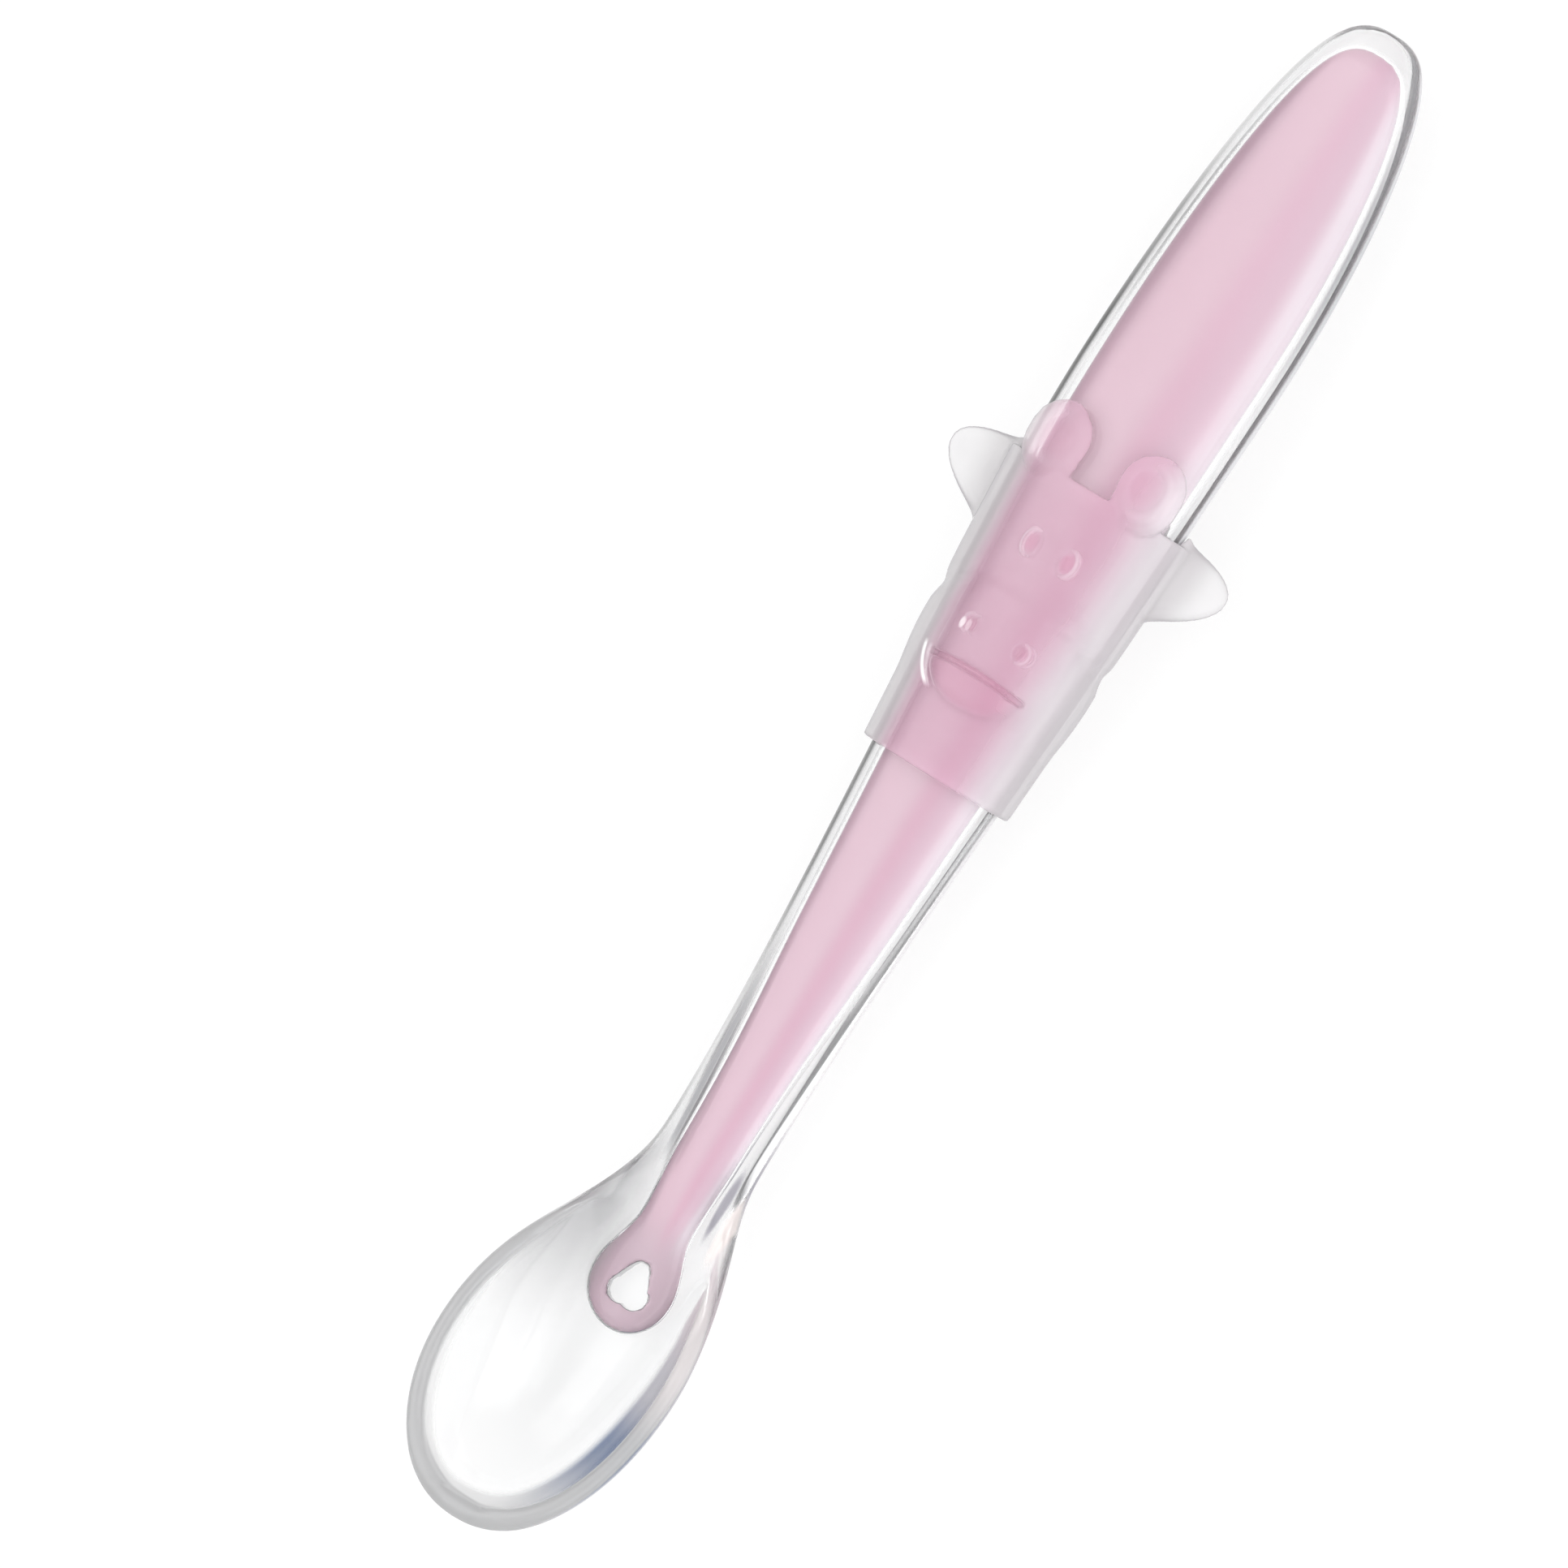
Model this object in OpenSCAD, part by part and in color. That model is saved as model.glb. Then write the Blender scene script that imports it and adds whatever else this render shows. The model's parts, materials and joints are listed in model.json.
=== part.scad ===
// Baby spoon lying on its belly: x runs along the handle, z is up, the bowl is at -x.
// A stiff core with a ring end is moulded into a clear soft body, and a soft sleeve
// with a calf's head is pushed up the tapered handle.
// Every function of x below measures x from the tip of the bowl.

/* [Spoon] */
// Length from the tip of the bowl to the end of the handle
spoon_len = 150; // [142:0.5:165]

/* [Bowl] */
// Width across the rim
bowl_w = 21.7; // [19:0.1:25]
// Distance from the tip to the widest place
bowl_nose_len = 15.7; // [14:0.1:17]
// Height of the rim at the tip above the surface
tip_rise = 12.6; // [10:0.1:15]
// Length over which the rim stays level behind the tip
rim_level_len = 3; // [1:0.5:5]
// Thickness of the bowl's wall, and width of its rounded rim
bowl_wall = 1.6; // [1.3:0.1:1.9]
// Width of the rim at the tip
tip_wall = 2; // [1.6:0.1:2.4]
// Thickness of the floor round the core's ring
heel_floor_t = 3.2; // [3:0.1:4]
// Distance from the tip to where the dish begins to close into the neck
dish_close_at = 22; // [20:0.5:24]

/* [Handle] */
// Distance from the tip to the narrowest place of the neck
neck_at = 38; // [36:0.5:41]
// Width of the neck
neck_w = 9.6; // [9:0.1:11]
// Thickness of the neck
neck_t = 6.2; // [5.8:0.1:7]
// Gap between the neck and the surface that the spoon lies on
neck_lift = 0.2; // [0:0.1:1]
// Distance from the tip to the start of the straight run
straight_at = 50; // [46:0.5:54]
// Slope of the straight run, in degrees
handle_rise = 3.15; // [2:0.05:4]
// Width of the grip at its widest
grip_w = 17.2; // [16:0.1:19]
// Thickness of the grip
grip_t = 9; // [8:0.1:10.5]
// Distance from the grip's widest place to the end of the handle
tail_len = 32; // [28:0.5:36]

/* [Core] */
// Thickness of the clear skin over the core
skin_t = 1.5; // [1.3:0.05:2]
// Thickness of the clear skin past the end of the core
end_skin_t = 2.2; // [1.8:0.1:2.6]
// Outer diameter of the ring end
ring_d = 8.9; // [8:0.1:9.4]
// Distance from the tip to the middle of the ring
ring_at = 24.5; // [24:0.1:26]
// Thickness of the ring
ring_t = 1.8; // [1.4:0.1:2]
// Length over which the ring narrows into the tang
ring_shoulder_len = 6.5; // [6:0.5:9]
// Width of the tang between the ring and the handle
tang_w = 5.2; // [4.6:0.1:5.6]
// Distance from the tip to where the tang begins to widen
tang_at = 36; // [34:0.5:39]
// Length over which the tang widens to the full core
tang_len = 24; // [20:1:28]
// Length of the heart-shaped hole
heart_len = 4.2; // [3.8:0.1:4.6]
// Width of the heart-shaped hole
heart_w = 3.8; // [3.2:0.1:4.2]

/* [Sleeve] */
// Distance from the tip of the bowl to the lower rim
sleeve_at = 75.2; // [72:0.1:78]
// Length between the rims
sleeve_len = 28; // [26:0.5:30]
// Thickness of the wall
sleeve_wall = 0.8; // [0.7:0.05:1]
// Gap between the sleeve and the handle
sleeve_gap = 0.15; // [0.1:0.01:0.2]

/* [Calf head] */
// Height of the muzzle above the sleeve's wall
muzzle_h = 1.3; // [0.8:0.1:1.6]
// Length from the lower rim to the start of the muzzle
muzzle_at = 6.6; // [5.5:0.1:7.5]
// Length from the lower rim to the crease above the muzzle, at the sides
crease_at = 14.6; // [13.5:0.1:15.5]
// Length by which the crease arches up at the front
crease_arch = 3.6; // [2:0.1:4.5]
// Depth of the crease
crease_depth = 0.3; // [0.1:0.05:0.35]
// Length from the lower rim to the line of the mouth
mouth_at = 9.6; // [9.2:0.1:10]
// Width of the mouth
mouth_w = 9.2; // [8:0.1:10]
// Width of the mouth's groove
mouth_line_w = 0.7; // [0.5:0.1:0.9]
// Length of the lower lip below the mouth
lip_len = 3.6; // [3:0.1:4]
// Height of the lip's edge above the muzzle
lip_h = 0.7; // [0.4:0.1:0.9]
// Length from the lower rim to the nostrils
nostril_at = 13; // [12.6:0.1:13.6]
// Distance between the nostrils
nostril_gap = 4.9; // [4:0.1:6]
// Length of a nostril
nostril_len = 1.5; // [1:0.1:2]
// Length from the lower rim to the eyes
eye_at = 21.6; // [21:0.1:22.5]
// Distance between the eyes
eye_gap = 3.7; // [3.2:0.1:4.5]
// Length of an eye
eye_len = 2.6; // [2:0.1:3]
// Length from the lower rim to the middle of the ears
ear_at = 24.6; // [24:0.1:25.2]
// Reach of an ear past the side of the sleeve
ear_reach = 5.4; // [4:0.1:6.5]
// Height of an ear where it leaves the head
ear_h = 7.6; // [6:0.1:8]
// Height by which an ear's tip lies above its middle
ear_lift = 1.1; // [0:0.1:1.6]
// Thickness of an ear
ear_t = 2.6; // [2:0.1:3]
// Depth of the hollow in an ear's front
ear_cup = 0.7; // [0.3:0.1:1]
// Length of a horn past the upper rim
horn_len = 6; // [4:0.1:7]
// Length of a horn from its foot to its tip
horn_reach = 7.6; // [6:0.1:9]
// Width of a horn
horn_w = 6.2; // [5:0.1:6.6]
// Thickness of a horn above the sleeve's bore
horn_t = 1.6; // [1.2:0.1:2]
// Depth of the round dimple in a horn's front
horn_dimple = 0.4; // [0.1:0.1:0.6]
// Distance between the middles of the horns
horn_gap = 9.2; // [8.4:0.1:9.6]

/* [Hidden] */

clear_colour = [0.88, 0.91, 0.94, 0.4];
core_colour = [0.91, 0.76, 0.83];
sleeve_colour = [0.96, 0.95, 0.96, 0.75];

// How full the bowl's nose, heel and section and the handle's end are
nose_power_share = 0.46;
heel_fullness_share = 1.2;
dish_power_share = 0.6;
tail_power_share = 1 / 3;
droop_power = 5;
core_corner_share = 0.75;
// Roundness of the core's ring edge, as a power
ring_edge_power = 6;
// Radii of the heart's lobes and of its point, as shares of its width
lobe_share = 0.33;
heart_tip_share = 0.2;
// How full an ear's outline is, how fast its root flares, and how thin its tip is
ear_power_share = 0.7;
ear_flare_power = 8;
ear_tip_share = 0.4;

overrun = 1;
grip_at = spoon_len - tail_len;
neck_z = neck_t / 2 + neck_lift;
tail_z = grip_t / 2;
sleeve_end = sleeve_at + sleeve_len;
bend_at = sleeve_end + sleeve_wall;

// Steps round a section: lower half, each rim, and the dish
low_steps = 20;
rim_steps = 4;
dish_steps = 14;
top_steps = dish_steps + 2 * rim_steps;
core_steps = 24;
// Steps along the spoon
front_steps = 5;
nose_steps = 9;
heel_steps = 12;
taper_steps = 14;
tail_steps = 10;
ring_end_steps = 6;
shoulder_steps = 5;
// Steps round and along the sleeve and an ear
sleeve_round_steps = 40;
sleeve_steps = 32;
bore_steps = 6;
ear_round_steps = 20;
ear_steps = 9;

function clamped(q) = min(max(q, 0), 1);
function ease(q) = let (c = clamped(q)) c * c * (3 - 2 * c);
function mixed(a, b, share) = a + (b - a) * share;
function blend(a, b, q) = mixed(a, b, ease(q));
function arch(q, power) = pow(max(1 - q * q, 0), power);
function bump(q) = q <= 0 || q >= 1 ? 0 : pow(sin(180 * q), 2);
function steps(from, to, count) = [for (i = [1:count]) mixed(from, to, i / count)];

// Handle: share of the way from neck to grip, and how much is left near the end
function grip_share(x) = ease((x - neck_at) / (grip_at - neck_at));
function tail_share(x, len) = x <= grip_at ? 1 : arch((x - grip_at) / len, tail_power_share);
function taper_half_w(x) = neck_w / 2 + (grip_w - neck_w) / 2 * grip_share(x);
function taper_half_t(x) = neck_t / 2 + (grip_t - neck_t) / 2 * grip_share(x);
function heel_q(x, from) = pow(clamped((x - from) / (neck_at - from)), heel_fullness_share);

// Outline seen from above: half an ellipse, an eased heel, the taper and a full round end
function half_w(x) =
    x < bowl_nose_len ? bowl_w / 2 * arch(1 - x / bowl_nose_len, nose_power_share)
    : x < neck_at ? blend(bowl_w / 2, neck_w / 2, heel_q(x, bowl_nose_len))
    : taper_half_w(x) * tail_share(x, tail_len);
function half_t(x) = taper_half_t(x) * tail_share(x, tail_len);

// Middle of the handle seen from the side: level neck, straight run, then a droop to the tail
function run_z(x) = neck_z + tan(handle_rise) * (x - (neck_at + straight_at) / 2);
function lead_z(x) = neck_z
    + tan(handle_rise) * pow(max(x - neck_at, 0), 2) / (2 * (straight_at - neck_at));
function droop_share(x) =
    let (q = clamped((x - bend_at) / (spoon_len - bend_at)))
    1 - pow(1 - q, droop_power) * (1 + droop_power * q);
function handle_z(x) =
    x < straight_at ? lead_z(x)
    : x < bend_at ? run_z(x)
    : mixed(run_z(x), tail_z, droop_share(x));

// Bowl: rim, floor and underside seen from the side
function rim_z(x) = blend(tip_rise, neck_z, heel_q(x, rim_level_len));
function floor_t(x) = blend(bowl_wall, heel_floor_t, x / bowl_nose_len);
function inside_q(x) = clamped((x - tip_wall) / (bowl_nose_len - tip_wall));
function dish_depth(x) = (rim_z(x) - heel_floor_t) * arch(1 - inside_q(x), dish_power_share);
function under_depth(x) =
    (rim_z(x) - heel_floor_t + floor_t(x)) * arch(1 - clamped(x / bowl_nose_len), dish_power_share);
function dish_half_w(x) =
    x >= bowl_nose_len ? half_w(x) - bowl_wall
    : max((bowl_w / 2 - bowl_wall) * arch(1 - inside_q(x), nose_power_share), half_w(x) / 3);
// Height of the rounded rim a share q of the way from its outer edge to the dish
function rim_crest(q, x) = bowl_wall / 2 * sin(180 * q * clamped(x / tip_wall));
// Share of the handle's oval in a section: 0 in the bowl, 1 from the neck on
function oval_share(x) = ease((x - dish_close_at) / (neck_at - dish_close_at));

// One point of the cup's section, counted from the +y rim round the underside
function cup_low(q, x) = [half_w(x) * cos(180 * q),
    rim_z(x) - under_depth(x) * pow(sin(180 * q), 2 * dish_power_share)];
function rim_round(q, x, side) = [
    side * mixed(half_w(x), dish_half_w(x), (1 - cos(180 * q)) / 2), rim_z(x) + rim_crest(q, x)];
function dish(q, x) = [-dish_half_w(x) * cos(180 * q),
    rim_z(x) + rim_crest(1, x) - dish_depth(x) * pow(sin(180 * q), 2 * dish_power_share)];
function cup_top(i, x) =
    i < rim_steps ? rim_round(i / rim_steps, x, -1)
    : i <= rim_steps + dish_steps ? dish((i - rim_steps) / dish_steps, x)
    : rim_round((top_steps - i) / rim_steps, x, 1);
function oval(angle, x) = [half_w(x) * cos(angle), handle_z(x) - half_t(x) * sin(angle)];
function section(x) = [
    for (i = [0:low_steps])
        mixed(cup_low(i / low_steps, x), oval(180 * i / low_steps, x), oval_share(x)),
    for (i = [1:top_steps - 1])
        mixed(cup_top(i, x), oval(180 + 180 * i / top_steps, x), oval_share(x))];

// Heights of the section's middle line, where the core lies
function top_z(x) = mixed(rim_z(x) - dish_depth(x), handle_z(x) + half_t(x), oval_share(x));
function bottom_z(x) = mixed(rim_z(x) - under_depth(x), handle_z(x) - half_t(x), oval_share(x));
function middle_z(x) = (top_z(x) + bottom_z(x)) / 2;

function ring_points(x, outline) = [for (p = outline) [x - spoon_len / 2, p[0], p[1]]];
function pole(x, z) = [x - spoon_len / 2, 0, z];

// A closed skin through equal rings of points, with a pole at each end
module loft(rings, first, last) {
    count = len(rings[0]);
    final = len(rings) - 1;
    points = [first, for (r = rings) each r, last];
    function at(r, i) = 1 + r * count + i % count;
    polyhedron(points, [
        for (i = [0:count - 1]) [0, at(0, i + 1), at(0, i)],
        for (r = [0:final - 1], i = [0:count - 1]) each [
            [at(r, i), at(r, i + 1), at(r + 1, i)],
            [at(r, i + 1), at(r + 1, i + 1), at(r + 1, i)]],
        for (i = [0:count - 1]) [at(final, i), at(final, i + 1), len(points) - 1]]);
}

// Places along the spoon, closer together where the ends round off
front_places = [for (i = [1:front_steps]) tip_wall * (1 - cos(180 * i / front_steps)) / 2];
nose_places = [for (i = [1:nose_steps])
    mixed(tip_wall, bowl_nose_len, 1 - cos(90 * i / nose_steps))];
function tail_places(len, count) = [for (i = [1:count - 1])
    grip_at + len * sqrt(1 - pow(cos(90 * i / count), 1 / tail_power_share))];
body_places = concat(front_places, nose_places, steps(bowl_nose_len, neck_at, heel_steps),
    steps(neck_at, grip_at, taper_steps), tail_places(tail_len, tail_steps));

module body_skin() {
    loft([for (x = body_places) ring_points(x, section(x))], pole(0, rim_z(0)),
        pole(spoon_len, handle_z(spoon_len)));
}

// Core: a ring that narrows into a tang and widens into the bar under the skin
core_tail_len = tail_len - end_skin_t;
core_end = grip_at + core_tail_len;
ring_front = ring_at - ring_d / 2;
ring_back = ring_at + ring_shoulder_len;
full_at = tang_at + tang_len;
function bar_half_w(x) = (taper_half_w(x) - skin_t) * tail_share(x, core_tail_len);
function bar_half_t(x) = (taper_half_t(x) - skin_t) * tail_share(x, core_tail_len);
function core_half_w(x) =
    x < ring_at ? ring_d / 2 * arch((ring_at - x) / (ring_d / 2), 1 / 2)
    : x < tang_at ? blend(ring_d / 2, tang_w / 2, (x - ring_at) / ring_shoulder_len)
    : blend(tang_w / 2, bar_half_w(x), (x - tang_at) / tang_len);
function core_half_t(x) =
    x < ring_at ? ring_t / 2 * arch(pow((ring_at - x) / (ring_d / 2), ring_edge_power / 2), 1 / 2)
    : blend(ring_t / 2, bar_half_t(x), (x - ring_back) / (full_at - ring_back));
function signed_pow(v, power) = sign(v) * pow(abs(v), power);
function core_section(x) = [for (i = [0:core_steps - 1])
    let (a = 360 * i / core_steps)
    [core_half_w(x) * signed_pow(cos(a), core_corner_share),
        middle_z(x) - core_half_t(x) * signed_pow(sin(a), core_corner_share)]];
core_places = concat(
    [for (i = [1:ring_end_steps]) ring_at - ring_d / 2 * cos(90 * i / ring_end_steps)],
    steps(ring_at, ring_back, shoulder_steps), steps(ring_back, full_at, shoulder_steps + 2),
    steps(full_at, grip_at, shoulder_steps), tail_places(core_tail_len, tail_steps));

module core_bar() {
    loft([for (x = core_places) ring_points(x, core_section(x))],
        pole(ring_front, middle_z(ring_front)), pole(core_end, handle_z(core_end)));
}

// Heart outline with its point towards the handle
module heart() {
    lobe_r = heart_w * lobe_share;
    tip_r = heart_w * heart_tip_share;
    for (side = [-1, 1]) hull() {
        translate([lobe_r - heart_len / 2, side * (heart_w / 2 - lobe_r)]) circle(lobe_r, $fn = 24);
        translate([heart_len / 2 - tip_r, 0]) circle(tip_r, $fn = 24);
    }
}

module core_solid() {
    difference() {
        core_bar();
        translate([ring_at - spoon_len / 2, 0, middle_z(ring_at) - ring_t])
            linear_extrude(2 * ring_t) heart();
    }
}

module handle_core() {
    color(core_colour) core_solid();
}

module clear_body() {
    color(clear_colour) difference() {
        body_skin();
        core_solid();
    }
}

// Sleeve: a tapered tube that follows the handle, with the head raised on its front
function front_share(angle) = pow(max(-sin(angle), 0), 2);
function crease_x(angle) = sleeve_at + crease_at + crease_arch * front_share(angle);
function muzzle_rise(x, angle) =
    muzzle_h * (1 / 6 + 5 / 6 * front_share(angle))
    * sqrt(bump((x - sleeve_at - muzzle_at) / (crease_x(angle) - sleeve_at - muzzle_at)));
function crease_drop(x, angle) = crease_depth * bump((x - crease_x(angle)) / (4 * sleeve_wall) + 1 / 2);
function sleeve_grow(x, angle) =
    sleeve_gap + sleeve_wall + muzzle_rise(x, angle) - crease_drop(x, angle);
function sleeve_ring(x) = [for (i = [0:sleeve_round_steps - 1])
    let (a = 360 * i / sleeve_round_steps, g = sleeve_grow(x, a))
    [(taper_half_w(x) + g) * cos(a), run_z(x) - (taper_half_t(x) + g) * sin(a)]];
function bore_ring(x) = [for (i = [0:sleeve_round_steps - 1])
    let (a = 360 * i / sleeve_round_steps)
    [(taper_half_w(x) + sleeve_gap) * cos(a), run_z(x) - (taper_half_t(x) + sleeve_gap) * sin(a)]];

module sleeve_outside() {
    places = concat([sleeve_at], steps(sleeve_at, sleeve_end, sleeve_steps));
    loft([for (x = places) ring_points(x, sleeve_ring(x))], pole(sleeve_at, run_z(sleeve_at)),
        pole(sleeve_end, run_z(sleeve_end)));
}

module sleeve_bore() {
    from = sleeve_at - overrun;
    to = sleeve_end + horn_len + 2 * overrun;
    places = concat([from], steps(from, to, bore_steps));
    loft([for (x = places) ring_points(x, bore_ring(x))], pole(from, run_z(from)), pole(to, run_z(to)));
}

// A round bead stretched to three sizes, centred on the sleeve's surface or beside it
module bead(x, y, z, size, facets = 16) {
    translate([x - spoon_len / 2, y, z]) scale(size / 2) sphere(1, $fn = facets);
}

// Height of the sleeve's front over a place that is y off its middle
function front_z(x, y) =
    let (w = taper_half_w(x) + sleeve_gap + sleeve_wall,
        a = 180 + acos(-y / w),
        g = sleeve_grow(x, a))
    run_z(x) - (taper_half_t(x) + g) * sin(a);

// One section across an ear, at a share q of its reach, hollow on its front
function ear_half_h(q) = ear_h / 2 * arch(pow(q, ear_power_share), 1 / 2)
    + sleeve_wall * pow(1 - q, ear_flare_power);
function ear_half_t(q) = ear_t / 2 * mixed(1, ear_tip_share, q) * arch(q * q, 1 / 2);
function ear_cup_drop(q, angle) = ear_cup * sqrt(bump(q)) * pow(max(sin(angle), 0), 2);
function ear_ring(q, x, y, z) = [for (i = [0:ear_round_steps - 1])
    let (a = 360 * i / ear_round_steps)
    [x + ear_lift * q + ear_half_h(q) * cos(a), y, z + ear_half_t(q) * sin(a) - ear_cup_drop(q, a)]];

module ear() {
    x = sleeve_at + ear_at;
    z = run_z(x);
    root = taper_half_w(x) + sleeve_gap;
    reach = sleeve_wall + ear_reach;
    shares = [for (i = [0:ear_steps - 1]) sin(90 * i / ear_steps)];
    translate([-spoon_len / 2, 0, 0])
        loft([for (q = shares) ear_ring(q, x, root + reach * q, z)], [x, root, z],
            [x + ear_lift, root + reach, z]);
}

module horn(side) {
    y = side * horn_gap / 2;
    to = sleeve_end + horn_len - horn_w / 2;
    from = to + horn_w - horn_reach;
    size = [horn_w, horn_w, 2 * horn_t];
    top = front_z(to, y) - sleeve_wall + horn_t;
    difference() {
        hull() for (x = [from, to])
            bead(x, y, front_z(x, y) - sleeve_wall, size);
        bead((from + 2 * to) / 3, y, top, [horn_w * 2 / 3, horn_w * 3 / 5, 2 * horn_dimple]);
    }
}

// Half a flat disc under the mouth: the half above the mouth sinks into the muzzle
module lip() {
    x = sleeve_at + mouth_at;
    size = [2 * lip_len, mouth_w, 4 * lip_h];
    bead(x, 0, front_z(x - lip_len, 0), size, 32);
}

module mouth_line() {
    x = sleeve_at + mouth_at;
    for (i = [-3:2]) hull() for (j = [i, i + 1])
        bead(x - mouth_line_w * pow(j / 3, 2) / 2, j * mouth_w / 6, front_z(x, j * mouth_w / 6),
            [mouth_line_w, mouth_line_w, 2 * mouth_line_w]);
}

module eye(side) {
    x = sleeve_at + eye_at;
    y = side * eye_gap / 2;
    z = front_z(x, y);
    difference() {
        bead(x, y, z, [eye_len, eye_len * 2 / 3, sleeve_wall]);
        bead(x, y, z + sleeve_wall / 2, [eye_len * 2 / 3, eye_len * 2 / 5, sleeve_wall]);
    }
    bead(x, y, z, [eye_len / 2, eye_len / 4, sleeve_wall / 2]);
}

module face_sleeve() {
    color(sleeve_colour) difference() {
        union() {
            sleeve_outside();
            lip();
            ear();
            mirror([0, 1, 0]) ear();
            for (side = [-1, 1]) {
                horn(side);
                eye(side);
            }
        }
        sleeve_bore();
        mouth_line();
        for (side = [-1, 1])
            bead(sleeve_at + nostril_at, side * nostril_gap / 2,
                front_z(sleeve_at + nostril_at, nostril_gap / 2),
                [nostril_len, nostril_len * 2 / 3, nostril_len * 2 / 3]);
    }
}

clear_body();
handle_core();
face_sleeve();
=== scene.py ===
import json
from math import cos, pi, radians, sin

import bpy
from mathutils import Matrix, Vector

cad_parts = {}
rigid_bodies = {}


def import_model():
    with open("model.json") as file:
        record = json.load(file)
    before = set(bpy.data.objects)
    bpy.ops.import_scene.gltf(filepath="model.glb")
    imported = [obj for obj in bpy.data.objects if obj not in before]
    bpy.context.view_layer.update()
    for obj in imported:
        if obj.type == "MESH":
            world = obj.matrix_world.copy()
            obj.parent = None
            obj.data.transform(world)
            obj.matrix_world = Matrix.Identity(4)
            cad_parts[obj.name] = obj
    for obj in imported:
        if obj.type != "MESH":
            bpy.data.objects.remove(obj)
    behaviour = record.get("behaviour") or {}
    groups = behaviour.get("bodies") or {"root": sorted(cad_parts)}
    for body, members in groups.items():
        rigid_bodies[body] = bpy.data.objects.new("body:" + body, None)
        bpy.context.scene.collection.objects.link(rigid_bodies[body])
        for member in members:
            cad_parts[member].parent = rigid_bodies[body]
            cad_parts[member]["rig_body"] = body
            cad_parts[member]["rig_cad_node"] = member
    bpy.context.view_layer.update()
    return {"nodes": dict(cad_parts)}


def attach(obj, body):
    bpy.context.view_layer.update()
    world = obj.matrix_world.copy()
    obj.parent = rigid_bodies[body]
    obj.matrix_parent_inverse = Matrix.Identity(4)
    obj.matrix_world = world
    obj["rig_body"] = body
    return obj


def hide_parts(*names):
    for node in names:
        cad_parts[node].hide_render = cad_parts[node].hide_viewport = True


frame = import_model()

MM = 0.001

# The photograph's frame, in its own pixels, and its scale on the spoon
PHOTO_SIDE_PX = 1932
PX_PER_M = 14330
ORIGIN_PX = (1169, 970)
CAMERA_AZIMUTH = radians(6)
CAMERA_ELEVATION = radians(73)
HANDLE_ANGLE_IN_PHOTO = radians(58.4)
CAMERA_DISTANCE = 1.5
CAMERA_REACH = 20
SENSOR_WIDTH_MM = 36


def aim_camera():
    """A long lens above the spoon, rolled so that the handle points up to the right."""
    toward = Vector((sin(CAMERA_AZIMUTH) * cos(CAMERA_ELEVATION),
                     -cos(CAMERA_AZIMUTH) * cos(CAMERA_ELEVATION), sin(CAMERA_ELEVATION)))
    along = Vector((1, 0, 0))
    along = (along - toward * along.dot(toward)).normalized()
    across = toward.cross(along)
    right = along * cos(HANDLE_ANGLE_IN_PHOTO) - across * sin(HANDLE_ANGLE_IN_PHOTO)
    up = along * sin(HANDLE_ANGLE_IN_PHOTO) + across * cos(HANDLE_ANGLE_IN_PHOTO)
    centre = PHOTO_SIDE_PX / 2
    place = (toward * CAMERA_DISTANCE - right * ((ORIGIN_PX[0] - centre) / PX_PER_M)
             + up * ((ORIGIN_PX[1] - centre) / PX_PER_M))
    data = bpy.data.cameras.new("camera")
    data.sensor_width = SENSOR_WIDTH_MM
    data.lens = SENSOR_WIDTH_MM * CAMERA_DISTANCE / (PHOTO_SIDE_PX / PX_PER_M)
    data.clip_end = CAMERA_REACH
    camera = bpy.data.objects.new("camera", data)
    bpy.context.scene.collection.objects.link(camera)
    turn = Matrix((right, up, toward)).transposed().to_4x4()
    camera.matrix_world = Matrix.Translation(place) @ turn
    bpy.context.scene.camera = camera


# Modelling helpers
WELD_DISTANCE = 0.001 * MM
# Two triangles become one face up to this fold between them, whatever its corners are like
FOLD_LIMIT = radians(60)
ANY_SHAPE = radians(180)
SUBDIVISIONS = 2


def deselect_all():
    bpy.ops.object.select_all(action="DESELECT")


def activate(piece):
    deselect_all()
    piece.select_set(True)
    bpy.context.view_layer.objects.active = piece


def edit_all(piece, operation, **values):
    """Runs a mesh operation on the whole piece."""
    activate(piece)
    bpy.ops.object.mode_set(mode="EDIT")
    bpy.ops.mesh.select_all(action="SELECT")
    operation(**values)
    bpy.ops.object.mode_set(mode="OBJECT")


def merged_copy(node, name):
    """A copy of a CAD node with its loose triangles joined."""
    source = frame["nodes"][node]
    piece = source.copy()
    piece.data = source.data.copy()
    piece.name = piece.data.name = name
    piece.parent = None
    bpy.context.scene.collection.objects.link(piece)
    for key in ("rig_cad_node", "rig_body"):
        if key in piece:
            del piece[key]
    edit_all(piece, bpy.ops.mesh.remove_doubles, threshold=WELD_DISTANCE)
    return piece


def apply_modifier(piece, kind, **values):
    activate(piece)
    modifier = piece.modifiers.new(kind.lower(), kind)
    for key, value in values.items():
        setattr(modifier, key, value)
    bpy.ops.object.modifier_apply(modifier=modifier.name)


def round_faces(piece):
    """Pairs the triangles up and rounds the faces that they make."""
    edit_all(piece, bpy.ops.mesh.tris_convert_to_quads,
             face_threshold=FOLD_LIMIT, shape_threshold=ANY_SHAPE)
    apply_modifier(piece, "SUBSURF", levels=SUBDIVISIONS, render_levels=SUBDIVISIONS)


def put_on(piece, material):
    piece.data.materials.clear()
    piece.data.materials.append(material)


def coat(piece, material):
    activate(piece)
    bpy.ops.object.shade_smooth()
    put_on(piece, material)


# Shading
WHITE = (1, 1, 1)
# The noise values that count as its lowest and its highest
NOISE_SPAN = (0.3, 0.7)
# The numbers of the Mix node's two colour inputs and its colour output
MIX_LOW, MIX_HIGH, MIX_RESULT = 6, 7, 2


def grey(level):
    return (level, level, level)


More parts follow.
